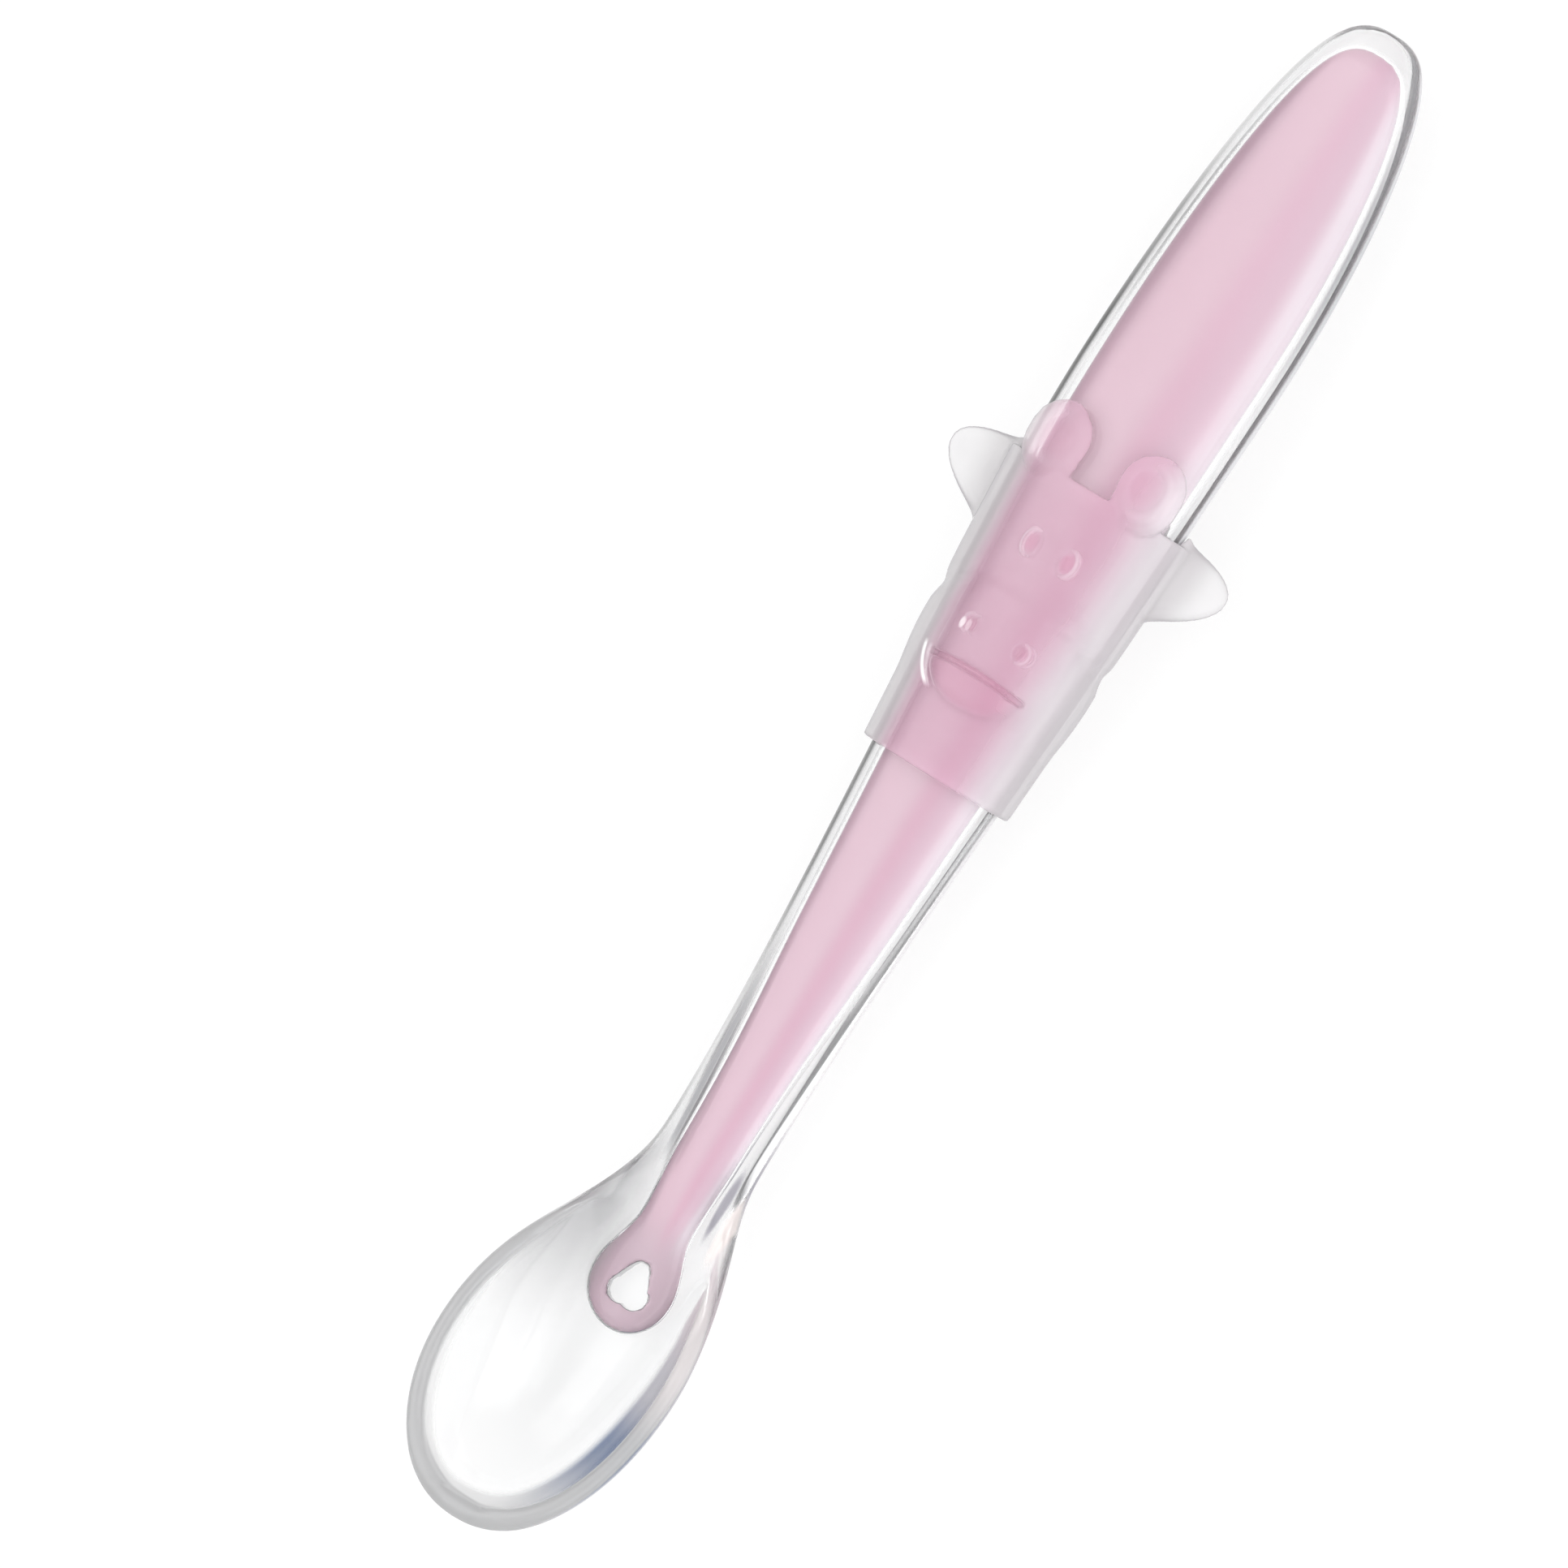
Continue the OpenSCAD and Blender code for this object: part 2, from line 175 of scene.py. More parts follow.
class Shading:
    """A node tree that is put together node by node."""

    def __init__(self, tree):
        self.nodes, self.links = tree.nodes, tree.links

    def plug(self, value, socket):
        """Gives a socket a colour, a number, or what another node puts out."""
        if isinstance(value, tuple):
            socket.default_value = (*value, 1)
        elif isinstance(value, (int, float)):
            socket.default_value = value
        else:
            self.links.new(value, socket)

    def math(self, operation, *values):
        node = self.nodes.new("ShaderNodeMath")
        node.operation = operation
        for socket, value in zip(node.inputs, values):
            self.plug(value, socket)
        return node.outputs[0]

    def chain(self, operation, first, *others):
        for other in others:
            first = self.math(operation, first, other)
        return first

    def product(self, *values):
        return self.chain("MULTIPLY", *values)

    def largest(self, *values):
        return self.chain("MAXIMUM", *values)

    def between(self, value, low, high, span=(0, 1), curve="SMOOTHSTEP"):
        """Goes from low to high while the value crosses the span."""
        node = self.nodes.new("ShaderNodeMapRange")
        node.interpolation_type = curve
        keys = ("From Min", "From Max", "To Min", "To Max")
        for key, number in zip(keys, (*span, low, high)):
            node.inputs[key].default_value = number
        self.links.new(value, node.inputs["Value"])
        return node.outputs["Result"]

    def rise(self, value, span):
        return self.between(value, 0, 1, span)

    def fall(self, value, span):
        return self.between(value, 1, 0, span)

    def band(self, value, first, last):
        """Rises over the first span and falls over the last."""
        return self.product(self.rise(value, first), self.fall(value, last))

    def colours(self, factor, low, high, blend="MIX"):
        node = self.nodes.new("ShaderNodeMix")
        node.data_type = "RGBA"
        node.blend_type = blend
        self.plug(factor, node.inputs["Factor"])
        self.plug(low, node.inputs[MIX_LOW])
        self.plug(high, node.inputs[MIX_HIGH])
        return node.outputs[MIX_RESULT]

    def times(self, first, second):
        return self.colours(1, first, second, "MULTIPLY")


# The spoon from the bowl's tip to the handle's end, and where its bowl ends and handle starts
SPOON = (-75 * MM, 75 * MM)
BOWL_END = (-48 * MM, -43 * MM)
HANDLE_START = (-44 * MM, -38 * MM)
# Half the core's width at the middle of the spoon, and what it gains per length towards the end
CORE_HALF_W = 5.0 * MM
CORE_WIDENING = 0.063
# Where the core closes in to its rounded end, and the share of its width that is left there
CORE_CLOSING = (38 * MM, 75 * MM)
CORE_END_SHARE = 0.4
# The colours across the handle reach this many half widths of the core to either side
ACROSS_SPAN = (-2.5, 2.5)
# The rim's line seen from the side: where it falls towards the neck, from and to which height,
# how the fall bends, and how far it dips at the tip
RIM_FALL = (-72 * MM, -37 * MM)
RIM_HEIGHTS = (12.6 * MM, 3.3 * MM)
RIM_BEND = 1.2
RIM_DIP = 1 * MM
RIM_DIP_STRETCH = (-75 * MM, -70 * MM)
# The crest sets in about that line, all round the open bowl and then on the neck's shoulders
CREST_EDGE = (-0.4 * MM, 0.3 * MM)
OPEN_BOWL_END = (-54 * MM, -48 * MM)
SHOULDERS = (4.5 * MM, 5.5 * MM)
# A spot's soft edge, and the height from which the spoon's upper side counts
SPOT_EDGE = (0.2, 1)
UPPER_SIDE = (3 * MM, 4 * MM)


class Finish(Shading):
    """A procedural material on Object coordinates."""

    def __init__(self, name):
        self.material = bpy.data.materials.new(name)
        self.material.use_nodes = True
        super().__init__(self.material.node_tree)
        self.shader = self.nodes["Principled BSDF"]
        self.place = self.nodes.new("ShaderNodeTexCoord").outputs["Object"]
        split = self.nodes.new("ShaderNodeSeparateXYZ")
        self.links.new(self.place, split.inputs[0])
        self.x, self.y, self.z = split.outputs

    def set(self, **values):
        """Sets the shader's sockets, with _ for the spaces in their names."""
        for key, value in values.items():
            self.plug(value, self.shader.inputs[key.replace("_", " ")])

    def noise(self, size_mm, detail=3.0, stretch=(1, 1, 1)):
        mapping = self.nodes.new("ShaderNodeMapping")
        mapping.inputs["Scale"].default_value = stretch
        self.links.new(self.place, mapping.inputs["Vector"])
        node = self.nodes.new("ShaderNodeTexNoise")
        node.inputs["Scale"].default_value = 1 / (size_mm * MM)
        node.inputs["Detail"].default_value = detail
        self.links.new(mapping.outputs["Vector"], node.inputs["Vector"])
        return node.outputs["Fac"]

    def clouds(self, low, high, **noise):
        """Noise that is spread over the whole way from low to high."""
        return self.between(self.noise(**noise), low, high, NOISE_SPAN, "LINEAR")

    def turned_away(self, span):
        """0 where the skin faces the eye, 1 where it turns away from it."""
        weight = self.nodes.new("ShaderNodeLayerWeight")
        weight.inputs["Blend"].default_value = 0.5
        return self.rise(weight.outputs["Facing"], span)

    def aside(self):
        """Distance from the middle line."""
        return self.math("ABSOLUTE", self.y)

    def ramp(self, value, span, stops):
        """Colours or greys at chosen places in the span, eased from one to the next."""
        node = self.nodes.new("ShaderNodeValToRGB")
        node.color_ramp.interpolation = "EASE"
        elements = node.color_ramp.elements
        elements.remove(elements[1])
        start, end = span
        for index, (at, colour) in enumerate(stops):
            position = (at - start) / (end - start)
            element = elements.new(position) if index else elements[0]
            element.position = position
            element.color = (*(colour if isinstance(colour, tuple) else grey(colour)), 1)
        self.links.new(self.between(value, 0, 1, span, "LINEAR"), node.inputs["Fac"])
        return node.outputs["Color"]

    def along(self, stops):
        """Colours along the spoon."""
        return self.ramp(self.x, SPOON, stops)

    def core_half(self):
        """Half of the core's width along the handle."""
        half = self.math("ADD", self.product(self.x, CORE_WIDENING), CORE_HALF_W)
        closing = self.between(self.x, 1, CORE_END_SHARE, CORE_CLOSING, "LINEAR")
        return self.product(half, closing)

    def across(self, stops):
        """Colours across the handle, where -1 and 1 are the right and left edges of its core."""
        return self.ramp(self.math("DIVIDE", self.y, self.core_half()), ACROSS_SPAN, stops)

    def from_middle(self, beside, x, y, length, width):
        """Square of the distance from the middle of an oval, 1 on its edge."""
        along = self.math("DIVIDE", self.math("SUBTRACT", self.x, x), length / 2)
        beside = self.math("DIVIDE", self.math("SUBTRACT", beside, y), width / 2)
        return self.math("ADD", self.math("POWER", along, 2), self.math("POWER", beside, 2))

    def from_oval(self, oval):
        """Distance from the middle of an oval, 1 on its edge."""
        return self.math("SQRT", self.from_middle(self.y, *oval))

    def from_pair(self, oval):
        """Distance from the middles of a left and a right oval, 1 on their edges."""
        return self.math("SQRT", self.from_middle(self.aside(), *oval))

    def spot(self, oval):
        """1 in the middle of an oval on the upper side, 0 outside it."""
        return self.product(self.fall(self.from_middle(self.y, *oval), SPOT_EDGE),
                            self.rise(self.z, UPPER_SIDE))

    def rim_crest(self):
        """1 on the rounded rim of the bowl."""
        drop = self.math("POWER", self.between(self.x, 0, 1, RIM_FALL, "LINEAR"), RIM_BEND)
        over = self.math("SUBTRACT", self.z, self.between(drop, *RIM_HEIGHTS))
        over = self.math("ADD", over, self.between(self.x, RIM_DIP, 0, RIM_DIP_STRETCH))
        place = self.largest(self.fall(self.x, OPEN_BOWL_END), self.rise(self.aside(), SHOULDERS))
        return self.product(self.rise(over, CREST_EDGE), place, self.fall(self.x, HANDLE_START))

    def body_colour(self, colour, density):
        """Colour that the light takes on along its way through the material."""
        node = self.nodes.new("ShaderNodeVolumeAbsorption")
        node.inputs["Color"].default_value = (*colour, 1)
        node.inputs["Density"].default_value = density
        self.links.new(node.outputs["Volume"], self.nodes["Material Output"].inputs["Volume"])

    def bump(self, value, height):
        node = self.nodes.new("ShaderNodeBump")
        node.inputs["Distance"].default_value = height
        self.links.new(value, node.inputs["Height"])
        self.links.new(node.outputs["Normal"], self.shader.inputs["Normal"])


# The tones, streaks and glints of the three finishes are set by place, as the photo shows them,
# so they don't move with the light.
# Most of them are painted light: painted shade, painted highlights and painted reflections of the
# room.
SILICONE_IOR = 1.41

# Clear rubber: its two tints, and the colour and density that the light meets inside it
CLEAR_TINTS = ((0.985, 0.988, 0.99), (0.995, 0.995, 0.995))
CLEAR_BODY = ((0.79, 0.80, 0.82), 25)
CLEAR_ROUGHNESS = (0.03, 0.07)
CLEAR_WAVES = 0.02 * MM
RIGHT_SIDE = (-5 * MM, -1 * MM)
LEFT_SIDE = (-2 * MM, 2 * MM)
# How far the bowl's wall and the handle's sides turn away from the eye while they haze and take on
# their painted reflections and shade
WALL_TURN = (0.40, 0.54)
EDGE_TURN = (0.40, 0.60)
# Painted reflections of the room as the clear rubber bends it: the grey of the bowl's rim, which
# is partly haze, paler on its right, the grey of its wall, and the slate of its right side wall
# from the tip to the neck
RIM_HAZE_AND_REFLECTION = (0.50, 0.50, 0.505)
RIM_PALE_REFLECTION = (0.76, 0.72, 0.72)
RIM_PALE_START = (-62 * MM, -54 * MM)
WALL_REFLECTION_GREY = grey(0.80)
SIDE_WALL_REFLECTION = ((-73 * MM, (0.60, 0.60, 0.61)), (-63 * MM, (0.11, 0.15, 0.26)),
             (-57 * MM, (0.38, 0.37, 0.41)), (-48 * MM, (0.52, 0.45, 0.48)))
# Painted shade: the dish's left side is painted grey where it climbs into the neck
SLOPE_SIDE = (2 * MM, 6 * MM)
SLOPE_STRETCH = ((-62 * MM, -42 * MM), (-40 * MM, -36 * MM))
SLOPE_PAINTED_SHADE = (0.50, 0.50, 0.51)
# Painted reflections of light bent in the bowl's wall: middle, length, width and colour of the
# streaks to the right of the core at the neck
NECK_PAINTED_REFLECTIONS = (((-42 * MM, -5.3 * MM, 9 * MM, 1.5 * MM), (0.90, 0.82, 0.80)),
                ((-40.5 * MM, -4.0 * MM, 9 * MM, 0.9 * MM), (0.28, 0.27, 0.31)))
# A painted dark line, standing in for light bent at the core's left side, follows it at the neck:
# its width, its stretch and its colour
LINE_WIDTH = ((-0.2 * MM, 0.1 * MM), (0.4 * MM, 0.7 * MM))
LINE_STRETCH = ((-42 * MM, -37 * MM), (-28 * MM, -14 * MM))
LINE_PAINTED_SHADE = (0.32, 0.32, 0.34)
# The handle's sides set in past the core's edges and low down
PAST_CORE = (-0.8 * MM, 0.6 * MM)
LOW_DOWN = (3 * MM, 4.5 * MM)
# Painted shade and reflections along the handle's sides, where its edges bend the room's light
LEFT_EDGE_SHADE = ((-38 * MM, 0.40), (-28 * MM, 0.62), (-8 * MM, 0.16), (28 * MM, 0.16),
             (40 * MM, 0.05), (50 * MM, 0.25), (62 * MM, 0.62))
RIGHT_EDGE_SHADE = ((-45 * MM, (0.60, 0.56, 0.57)), (-38 * MM, (0.30, 0.29, 0.33)),
              (-30 * MM, (0.74, 0.72, 0.73)), (40 * MM, (0.66, 0.66, 0.68)),
              (55 * MM, (0.52, 0.53, 0.55)), (70 * MM, (0.66, 0.66, 0.68)))
# How hazy each of them is, and how clear the rubber stays in full haze
SLOPE_HAZE = 0.5
STREAK_HAZE = 0.9
LINE_HAZE = 0.8
CLEAR_IN_HAZE = 0.3
CLEAR_AT_EDGE = 0.08


def clear_silicone():
    """Clear rubber with hazy edges and painted reflections: grey round the bowl, slate in its right
    side wall.
    """
    finish = Finish("clear_silicone")
    right = finish.fall(finish.y, RIGHT_SIDE)
    left = finish.rise(finish.y, LEFT_SIDE)
    crest = finish.rim_crest()
    wall = finish.product(finish.fall(finish.x, BOWL_END), finish.turned_away(WALL_TURN))
    slope = finish.product(finish.rise(finish.y, SLOPE_SIDE), finish.band(finish.x, *SLOPE_STRETCH))
    past_core = finish.math("SUBTRACT", finish.aside(), finish.core_half())
    beside = finish.largest(finish.rise(past_core, PAST_CORE), finish.fall(finish.z, LOW_DOWN))
    line = finish.product(finish.band(past_core, *LINE_WIDTH), left,
                          finish.band(finish.x, *LINE_STRETCH))
    edge = finish.product(finish.rise(finish.x, HANDLE_START), beside,
                          finish.turned_away(EDGE_TURN))
    edge = finish.largest(edge, finish.product(line, LINE_HAZE))

    colour = finish.colours(finish.clouds(0, 1, size_mm=30), *CLEAR_TINTS)
    colour = finish.colours(slope, colour, SLOPE_PAINTED_SHADE)
    colour = finish.colours(wall, colour,
                            finish.colours(right, WALL_REFLECTION_GREY, finish.along(SIDE_WALL_REFLECTION)))
    pale = finish.product(right, finish.rise(finish.x, RIM_PALE_START))
    colour = finish.colours(crest, colour, finish.colours(pale, RIM_HAZE_AND_REFLECTION, RIM_PALE_REFLECTION))
    streaks = 0
    for oval, shade in NECK_PAINTED_REFLECTIONS:
        streak = finish.spot(oval)
        colour = finish.colours(streak, colour, shade)
        streaks = finish.largest(streaks, streak)
    sides = finish.colours(left, finish.along(RIGHT_EDGE_SHADE), finish.along(LEFT_EDGE_SHADE))
    colour = finish.colours(edge, colour, finish.colours(line, sides, LINE_PAINTED_SHADE))

    haze = finish.largest(finish.product(slope, SLOPE_HAZE), crest, wall,
                          finish.product(streaks, STREAK_HAZE))
    see_through = finish.product(finish.between(haze, 1, CLEAR_IN_HAZE, curve="LINEAR"),
                                 finish.between(edge, 1, CLEAR_AT_EDGE, curve="LINEAR"))
    finish.set(IOR=SILICONE_IOR, Base_Color=colour, Transmission_Weight=see_through,
               Roughness=finish.clouds(*CLEAR_ROUGHNESS, size_mm=5))
    finish.bump(finish.noise(size_mm=9, detail=1.0, stretch=(0.4, 1, 1)), CLEAR_WAVES)
    finish.body_colour(*CLEAR_BODY)
    return finish.material


# Pink plastic: the core from its right edge to its left, with painted light across it: a painted
# pale reflection on the right, a rosy band where it reflects nothing, and painted shade at its left
# edge
CORE_PINK_AND_PAINTED_LIGHT = ((-0.95, (0.95, 0.84, 0.91)), (-0.6, (0.93, 0.67, 0.79)),
                (-0.25, (0.88, 0.555, 0.69)), (0.1, (0.87, 0.61, 0.715)),
                (0.55, (0.86, 0.595, 0.70)), (0.95, (0.62, 0.42, 0.51)))
# The band is fainter on the wide grip
GRIP_PINK_AND_PAINTED_LIGHT = ((-0.95, (0.95, 0.84, 0.91)), (-0.6, (0.93, 0.67, 0.79)),
                (-0.25, (0.91, 0.61, 0.74)), (0.1, (0.88, 0.615, 0.72)),
                (0.55, (0.86, 0.595, 0.70)), (0.95, (0.62, 0.42, 0.51)))
GRIP_START = (25 * MM, 50 * MM)
RING_COLOUR = (0.80, 0.61, 0.70)
PLASTIC_SHADE = (0.97, 0.95, 0.96)
PLASTIC_IOR = 1.46
PLASTIC_SPECULAR = 0.2
PLASTIC_ROUGHNESS = (0.38, 0.5)


def pink_plastic():
    """Pale pink plastic with painted light across the core, plainer in the ring."""
    finish = Finish("pink_plastic")
    grip = finish.rise(finish.x, GRIP_START)
    colour = finish.colours(grip, finish.across(CORE_PINK_AND_PAINTED_LIGHT), finish.across(GRIP_PINK_AND_PAINTED_LIGHT))
    colour = finish.colours(finish.fall(finish.x, BOWL_END), colour, RING_COLOUR)
    streaks = finish.clouds(0, 1, size_mm=22, stretch=(0.3, 1, 1))
    colour = finish.times(colour, finish.colours(streaks, PLASTIC_SHADE, WHITE))
    finish.set(IOR=PLASTIC_IOR, Specular_IOR_Level=PLASTIC_SPECULAR, Base_Color=colour,
               Roughness=finish.clouds(*PLASTIC_ROUGHNESS, size_mm=3))
    return finish.material


# Milky rubber from the sleeve's right ear to its left: milky ears, painted grey shade at the sides,
# a painted pale band on the right, and pink painted over the core as its light scattered in the
# rubber
SLEEVE_TINT_AND_PAINTED_LIGHT = ((-1.9, (0.82, 0.81, 0.82)), (-1.45, (0.60, 0.57, 0.59)),
                  (-1.15, (0.82, 0.76, 0.80)), (-0.45, (0.80, 0.51, 0.64)),
                  (0.75, (0.80, 0.53, 0.65)), (1.1, (0.66, 0.62, 0.64)),
                  (1.4, (0.66, 0.64, 0.65)), (1.9, (0.82, 0.81, 0.82)))
SLEEVE_MILKINESS = ((-1.5, 0.55), (-0.85, 0.36), (-0.3, 0.3), (0.7, 0.3), (1.0, 0.52),
                    (1.5, 0.55))
SLEEVE_SPECULAR = 0.8
SLEEVE_ROUGHNESS = (0.12, 0.18)
SLEEVE_GRAIN = 0.003 * MM
# Its sides and ears, as distances from the middle line
SLEEVE_SIDES = (5 * MM, 7 * MM)
EARS = (8.5 * MM, 10 * MM)
# Faint clouds, pink over the core and grey at the sides
CLOUD_PINK = (0.97, 0.92, 0.95)
CLOUD_GREY = grey(0.97)
# What it takes on where it turns away from the eye, and along the edges of its ears: more milkiness
# and painted shade
SLEEVE_TURN = (0.5, 0.95)
TURNED_SHADE_PINK = (0.84, 0.66, 0.74)
TURNED_SHADE_GREY = (0.46, 0.44, 0.46)
TURNED_MILKINESS = grey(0.85)
EAR_TURN = (0.08, 0.4)
EAR_EDGE_SHADE = (0.50, 0.48, 0.50)
EAR_MILKINESS = grey(0.8)
# Middle, distance from the middle line, length and width of the eyes, nostrils and horns' dimples
EYES = (21.8 * MM, 1.85 * MM, 2.6 * MM, 1.75 * MM)
NOSTRILS = (13.2 * MM, 2.6 * MM, 1.9 * MM, 1.7 * MM)
DIMPLES = (30.6 * MM, 4.6 * MM, 5 * MM, 4.2 * MM)
# How strongly each pair shows, as a hollow inside with painted shade and a raised rim with a
# painted highlight that is fainter inwards
PAIRS = ((EYES, 0.55), (NOSTRILS, 0.4), (DIMPLES, 0.2))
HOLLOW_EDGE = (0.4, 0.85)
RIM_RING = ((0.65, 0.95), (0.95, 1.25))
RIM_INWARDS = 0.2
# The line of the mouth, and the oval round it whose lower half is the lip, both with painted shade
MOUTH = (9.7 * MM, 0, 1 * MM, 9.2 * MM)
MOUTH_EDGE = (0.5, 1.1)
MOUTH_DEPTH = 0.5
LIP = (9.8 * MM, 0, 7 * MM, 9.2 * MM)
LIP_EDGE = (0.8, 1.05)
LIP_TOP = (9.4 * MM, 10 * MM)
LIP_DEPTH = 0.4
# The hollows' pink is partly thin rubber over the core and partly painted shade; the rims' pale is
# partly thick rubber and partly painted highlight
HOLLOW_SHADE_PINK = (0.90, 0.62, 0.73)
RAISED_HIGHLIGHT_PALE = (0.93, 0.87, 0.90)
HOLLOW_MILKINESS_SHARE = 0.5
FACE_MILKINESS = grey(0.6)
# Pale marks for the glints in the left nostril and along the left corner of the mouth
NOSTRIL_GLINT = (12.9 * MM, 3.3 * MM, 1.3 * MM, 0.7 * MM)
NOSTRIL_GLINT_SHARE = 0.6
MOUTH_GLINT = (10.5 * MM, 1.4 * MM, 9.2 * MM, 8.6 * MM)
MOUTH_GLINT_RING = ((0.93, 0.98), (1.0, 1.06))
MOUTH_GLINT_SIDE = (3.2 * MM, 4.2 * MM)
MOUTH_GLINT_STRETCH = ((6.2 * MM, 7.2 * MM), (9.6 * MM, 10.3 * MM))
GLINT_HEIGHT = (5 * MM, 6 * MM)
GLINT_MILKINESS = grey(0.9)


def face_relief(finish):
    """Where the calf's face is hollow and gets painted shade, and where its raised rims get painted
    highlights.
    """
    hollow, raised = 0, 0
    for pair, strength in PAIRS:
        away = finish.from_pair(pair)
        hollow = finish.largest(hollow, finish.between(away, strength, 0, HOLLOW_EDGE))
        aside, width = pair[1], pair[3]
        outer = finish.between(finish.aside(), RIM_INWARDS, 1,
                               (aside - width / 4, aside + width / 2))
        rim = finish.product(finish.band(away, *RIM_RING), outer, strength)
        raised = finish.largest(raised, rim)
    lip = finish.product(finish.between(finish.from_pair(LIP), LIP_DEPTH, 0, LIP_EDGE),
                         finish.fall(finish.x, LIP_TOP))
    mouth = finish.between(finish.from_pair(MOUTH), MOUTH_DEPTH, 0, MOUTH_EDGE)
    return finish.largest(hollow, lip, mouth), raised


def face_glints(finish):
    mouth = finish.product(finish.band(finish.from_oval(MOUTH_GLINT), *MOUTH_GLINT_RING),
                           finish.rise(finish.y, MOUTH_GLINT_SIDE),
                           finish.band(finish.x, *MOUTH_GLINT_STRETCH))
    nostril = finish.product(finish.spot(NOSTRIL_GLINT), NOSTRIL_GLINT_SHARE)
    return finish.product(finish.largest(mouth, nostril), finish.rise(finish.z, GLINT_HEIGHT))


def milky_silicone():
    """Milky rubber: its hollows show more of the core's pink, its raised edges less, with painted
    shade and highlights.
    """
    finish = Finish("milky_silicone")
    side = finish.rise(finish.aside(), SLEEVE_SIDES)
    turned = finish.turned_away(SLEEVE_TURN)
    ear_edge = finish.product(finish.rise(finish.aside(), EARS), finish.turned_away(EAR_TURN))
    hollow, raised = face_relief(finish)
    glint = face_glints(finish)

    colour = finish.times(finish.across(SLEEVE_TINT_AND_PAINTED_LIGHT),
                          finish.colours(hollow, WHITE, HOLLOW_SHADE_PINK))
    colour = finish.colours(raised, colour, RAISED_HIGHLIGHT_PALE)
    colour = finish.colours(turned, colour, finish.colours(side, TURNED_SHADE_PINK, TURNED_SHADE_GREY))
    colour = finish.colours(ear_edge, colour, EAR_EDGE_SHADE)
    cloud = finish.colours(finish.clouds(0, 1, size_mm=6),
                           finish.colours(side, CLOUD_PINK, CLOUD_GREY), WHITE)
    colour = finish.colours(glint, finish.times(colour, cloud), WHITE)

    milkiness = finish.colours(turned, finish.across(SLEEVE_MILKINESS), TURNED_MILKINESS)
    milkiness = finish.colours(ear_edge, milkiness, EAR_MILKINESS)
    face = finish.largest(finish.product(hollow, HOLLOW_MILKINESS_SHARE), raised)
    milkiness = finish.colours(face, milkiness, FACE_MILKINESS)
    milkiness = finish.colours(glint, milkiness, GLINT_MILKINESS)
    finish.set(IOR=SILICONE_IOR, Specular_IOR_Level=SLEEVE_SPECULAR, Base_Color=colour,
               Alpha=milkiness, Roughness=finish.clouds(*SLEEVE_ROUGHNESS, size_mm=2))
    finish.bump(finish.noise(size_mm=0.5), SLEEVE_GRAIN)
    return finish.material


# Pieces
# The core is drawn this far inside its hollow, where the CAD faces meet. It is a guess: a film of
# air would give the lines at the core's edges in the photo, and it keeps the two faces apart.
CORE_GAP = 0.03 * MM
SLEEVE_VOXEL = 0.19 * MM


def make_clear_body():
    body = merged_copy("clear_body", "clear_skin")
    round_faces(body)
    coat(body, clear_silicone())
    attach(body, "spoon")
    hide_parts("clear_body")


def make_core():
    core = merged_copy("handle_core", "core")
    round_faces(core)
    apply_modifier(core, "DISPLACE", strength=-CORE_GAP, mid_level=0)
    coat(core, pink_plastic())
    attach(core, "spoon")
    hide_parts("handle_core")


def make_sleeve():
    sleeve = merged_copy("face_sleeve", "calf_sleeve")
    apply_modifier(sleeve, "REMESH", mode="VOXEL", voxel_size=SLEEVE_VOXEL)
    apply_modifier(sleeve, "SMOOTH", factor=0.5, iterations=3)
    coat(sleeve, milky_silicone())
    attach(sleeve, "sleeve")
    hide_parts("face_sleeve")


# Stage and light
FLOOR_SIDE = 8
# The share of the floor's white that it gives off by itself, and its paper as other light meets it
FLOOR_GLOW = 0.82
PAPER = grey(0.8)
# The room as the spoon sees it, and the plain backdrop as the camera sees it
ROOM_COLOUR = grey(0.72)
ROOM_LEFT = (0.45, 0.45, 0.46)
ROOM_RIGHT = (0.40, 0.42, 0.47)
ROOM_END = grey(0.60)
ROOM_LEVEL = 1
BACKDROP = grey(0.8)
# Where the room's sides set in, in degrees from overhead, and its ends, along the spoon
ROOM_LEFT_START = (58, 80)
ROOM_RIGHT_START = (78, 90)
ROOM_END_START = (0.45, 0.8)
# Where each panel sets in and ends, in degrees from overhead to its own side
LEFT_PANEL = ((2, 22), (48, 66))
RIGHT_PANEL = ((18, 34), (70, 86))
PANEL_LEVEL = 2.2
# Light runs on inside the clear rim instead of ending there as a black line
LIGHT_BOUNCES = 24


def make_floor():
    """Pale paper, which gives off some light itself where it is seen or shows through."""
    deselect_all()
    bpy.ops.mesh.primitive_plane_add(size=FLOOR_SIDE, location=(0, 0, 0))
    floor = bpy.context.object
    floor.name = "floor"
    material = bpy.data.materials.new("floor")
    material.use_nodes = True
    tree = Shading(material.node_tree)
    tree.nodes.clear()
    path = tree.nodes.new("ShaderNodeLightPath").outputs
    seen = tree.largest(path["Is Camera Ray"], path["Is Glossy Ray"],
                        path["Is Transmission Ray"])
    paper = tree.nodes.new("ShaderNodeBsdfDiffuse")
    shaded = tree.nodes.new("ShaderNodeBsdfDiffuse")
    glow = tree.nodes.new("ShaderNodeEmission")
    white = tree.nodes.new("ShaderNodeAddShader")
    mix = tree.nodes.new("ShaderNodeMixShader")
    out = tree.nodes.new("ShaderNodeOutputMaterial")
    for value, socket in ((PAPER, paper.inputs["Color"]),
                          (grey(1 - FLOOR_GLOW), shaded.inputs["Color"]),
                          (FLOOR_GLOW, glow.inputs["Strength"]),
                          (shaded.outputs[0], white.inputs[0]),
                          (glow.outputs[0], white.inputs[1]),
                          (seen, mix.inputs[0]),
                          (paper.outputs[0], mix.inputs[1]),
                          (white.outputs[0], mix.inputs[2]),
                          (mix.outputs[0], out.inputs["Surface"])):
        tree.plug(value, socket)
    put_on(floor, material)


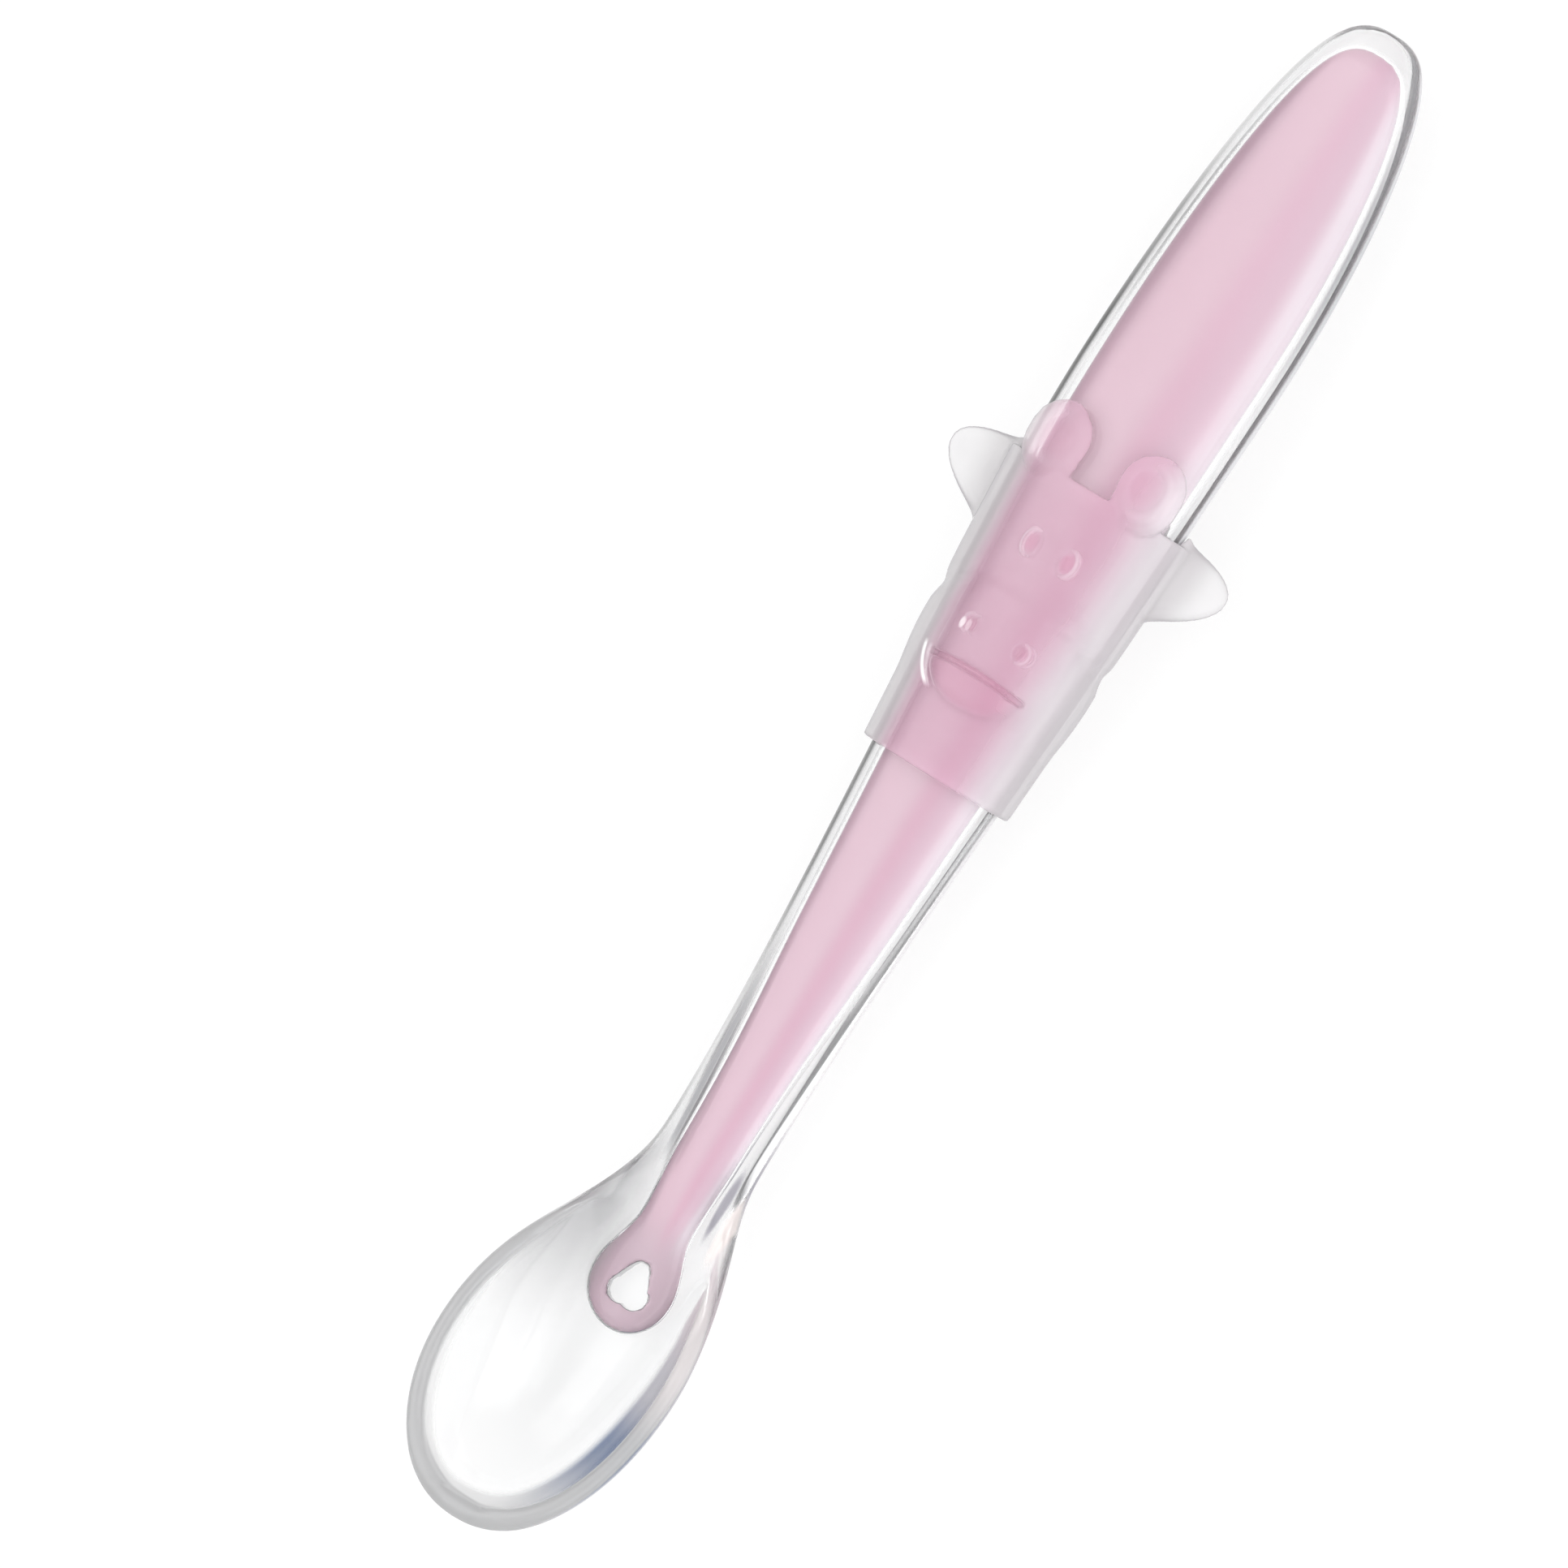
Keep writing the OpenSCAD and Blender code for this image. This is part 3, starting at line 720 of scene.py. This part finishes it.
def make_world():
    """A pale room with two soft panels beside the gap overhead, which lie along the spoon."""
    world = bpy.data.worlds.new("studio")
    bpy.context.scene.world = world
    world.use_nodes = True
    tree = Shading(world.node_tree)
    tree.nodes.clear()
    split = tree.nodes.new("ShaderNodeSeparateXYZ")
    tree.plug(tree.nodes.new("ShaderNodeTexCoord").outputs["Generated"], split.inputs[0])
    along, across, height = split.outputs
    # Degrees from overhead, to the left and to the right
    to_left = tree.product(tree.math("ARCTAN2", across, height), 180 / pi)
    to_right = tree.product(to_left, -1)
    end = tree.rise(tree.math("ABSOLUTE", along), ROOM_END_START)
    colour = tree.colours(tree.rise(to_left, ROOM_LEFT_START), ROOM_COLOUR, ROOM_LEFT)
    colour = tree.colours(tree.rise(to_right, ROOM_RIGHT_START), colour, ROOM_RIGHT)
    colour = tree.colours(end, colour, ROOM_END)
    panels = tree.math("ADD", tree.band(to_left, *LEFT_PANEL), tree.band(to_right, *RIGHT_PANEL))
    panels = tree.product(panels, tree.fall(end, (0, 1)))
    level = tree.math("ADD", tree.product(panels, PANEL_LEVEL), ROOM_LEVEL)
    room = tree.nodes.new("ShaderNodeBackground")
    backdrop = tree.nodes.new("ShaderNodeBackground")
    path = tree.nodes.new("ShaderNodeLightPath").outputs
    seen = tree.nodes.new("ShaderNodeMixShader")
    out = tree.nodes.new("ShaderNodeOutputWorld")
    for value, socket in ((colour, room.inputs["Color"]),
                          (level, room.inputs["Strength"]),
                          (BACKDROP, backdrop.inputs["Color"]),
                          (path["Is Camera Ray"], seen.inputs[0]),
                          (room.outputs[0], seen.inputs[1]),
                          (backdrop.outputs[0], seen.inputs[2]),
                          (seen.outputs[0], out.inputs[0])):
        tree.plug(value, socket)


def light_studio():
    scene = bpy.context.scene
    scene.view_settings.view_transform = "Standard"
    scene.cycles.max_bounces = LIGHT_BOUNCES
    scene.cycles.glossy_bounces = LIGHT_BOUNCES
    scene.cycles.transmission_bounces = LIGHT_BOUNCES


aim_camera()
make_clear_body()
make_core()
make_sleeve()
make_floor()
make_world()
light_studio()
